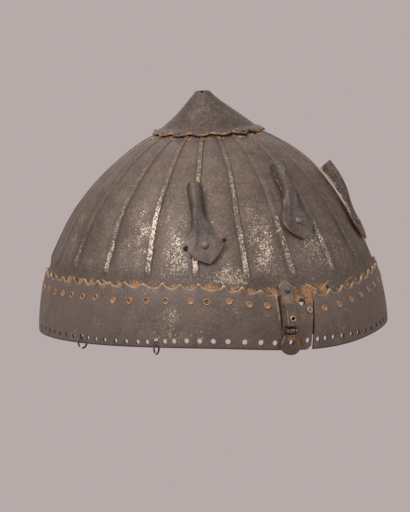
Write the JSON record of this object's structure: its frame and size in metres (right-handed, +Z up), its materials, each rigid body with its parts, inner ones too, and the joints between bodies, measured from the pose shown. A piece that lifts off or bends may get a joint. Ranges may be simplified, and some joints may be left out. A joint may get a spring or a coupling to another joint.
{
  "type": "ribbed iron helmet",
  "caption": "Wide low ribbed iron helmet bowl with a conical apex plate, riveted brim band pierced for mail, plume holders and a hinged front fitting.",
  "frame": {"origin": "centre of the rim plane, where the helmet sits on its stand or head", "axes": "+Z up through the apex, -Y to the front of the helmet, +X to the wearer's left"},
  "size_m": [0.2252, 0.2485, 0.1615],
  "materials": {
    "bowl_iron": "aged wrought iron, brown patina, worn bright in patches",
    "band_iron": "dark brown patina, rust along the wavy edge",
    "apex_iron": "dark brown patina, rust at the lobes",
    "band_rivets": "coppery, rusted, hollow-headed",
    "plume_iron": "blue-grey steel, satin",
    "fitting_iron": "dark grey steel with rust",
    "dark_rivets": "dark forged iron",
    "brass": "worn brass",
    "link_wire": "dull brassy wire"
  },
  "bodies": {
    "helmet": {"bowl": "bowl_iron", "brim_band": "band_iron", "front_plate": "band_iron", "front_plate_rivet": "band_rivets", "front_plate_plug": "band_rivets", "apex_plate": "apex_iron", "apex_rivet_1": "dark_rivets", "apex_rivet_2": "dark_rivets", "apex_rivet_3": "dark_rivets", "apex_rivet_4": "dark_rivets", "apex_rivet_5": "dark_rivets", "plume_holder_left": "plume_iron", "plume_holder_left_rivet": "dark_rivets", "plume_holder_centre": "plume_iron", "plume_holder_centre_rivet": "dark_rivets", "plume_holder_right": "plume_iron", "plume_holder_right_rivet": "dark_rivets", "fitting_base": "fitting_iron", "fitting_eyelet": "brass", "fitting_hinge_pin": "dark_rivets", "fitting_rivet": "dark_rivets"},
    "leaf": {"fitting_leaf": "fitting_iron"},
    "rear_link": {"mail_link_rear": "link_wire"},
    "front_link": {"mail_link_front": "link_wire"}
  },
  "joints": [
    {"name": "leaf_hinge", "type": "hinge", "parent": "helmet", "child": "leaf", "pos_m": [-0.02055, -0.12181, 0.00744], "axis": [-0.9804, 0.197, 0], "range_deg": [0, 110]},
    {"name": "rear_link_swing", "type": "hinge", "parent": "helmet", "child": "rear_link", "pos_m": [-0.1098, -0.01623, 0.00135], "axis": [0.1226, -0.9925, 0], "range_deg": [-60, 60]},
    {"name": "front_link_swing", "type": "hinge", "parent": "helmet", "child": "front_link", "pos_m": [-0.08932, -0.07175, 0.00113], "axis": [0.5571, -0.8305, 0], "range_deg": [-60, 60]}
  ]
}
